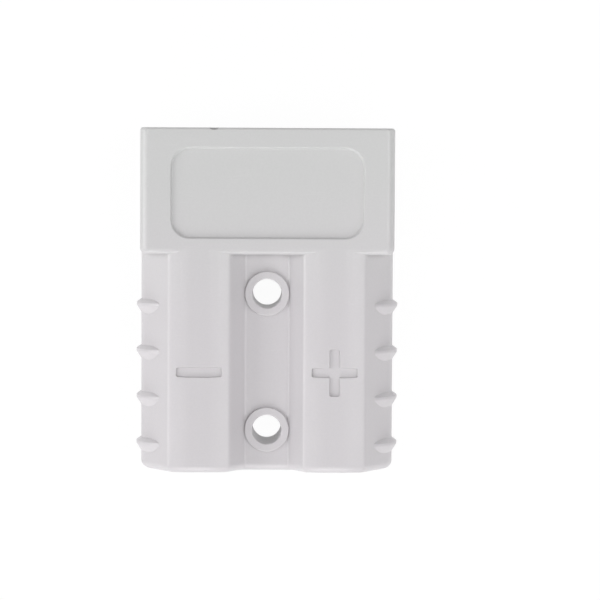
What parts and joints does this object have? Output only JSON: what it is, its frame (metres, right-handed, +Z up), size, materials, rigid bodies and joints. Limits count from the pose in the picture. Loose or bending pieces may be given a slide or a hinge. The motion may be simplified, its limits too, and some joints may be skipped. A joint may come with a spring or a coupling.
{
  "type": "genderless power connector",
  "caption": "Flat genderless power connector: a moulded housing that mates with its own twin turned over, holding crimp contacts on leaf springs.",
  "frame": {"origin": "bottom centre of the bounding box, on the surface that the two barrels rest on", "axes": "+Y towards the mating end, +Z up through the hood, +X towards the positive pole"},
  "size_m": [0.0368, 0.0478, 0.016],
  "materials": {
    "housing_plastic": "light grey moulded polycarbonate, satin gloss",
    "contact_plating": "silver plating over copper, lightly brushed",
    "spring_steel": "stainless spring strip, rolled finish"
  },
  "bodies": {
    "root": {"housing": "housing_plastic", "contact_positive": "contact_plating", "contact_negative": "contact_plating", "spring_positive": "spring_steel", "spring_negative": "spring_steel"}
  },
  "joints": []
}
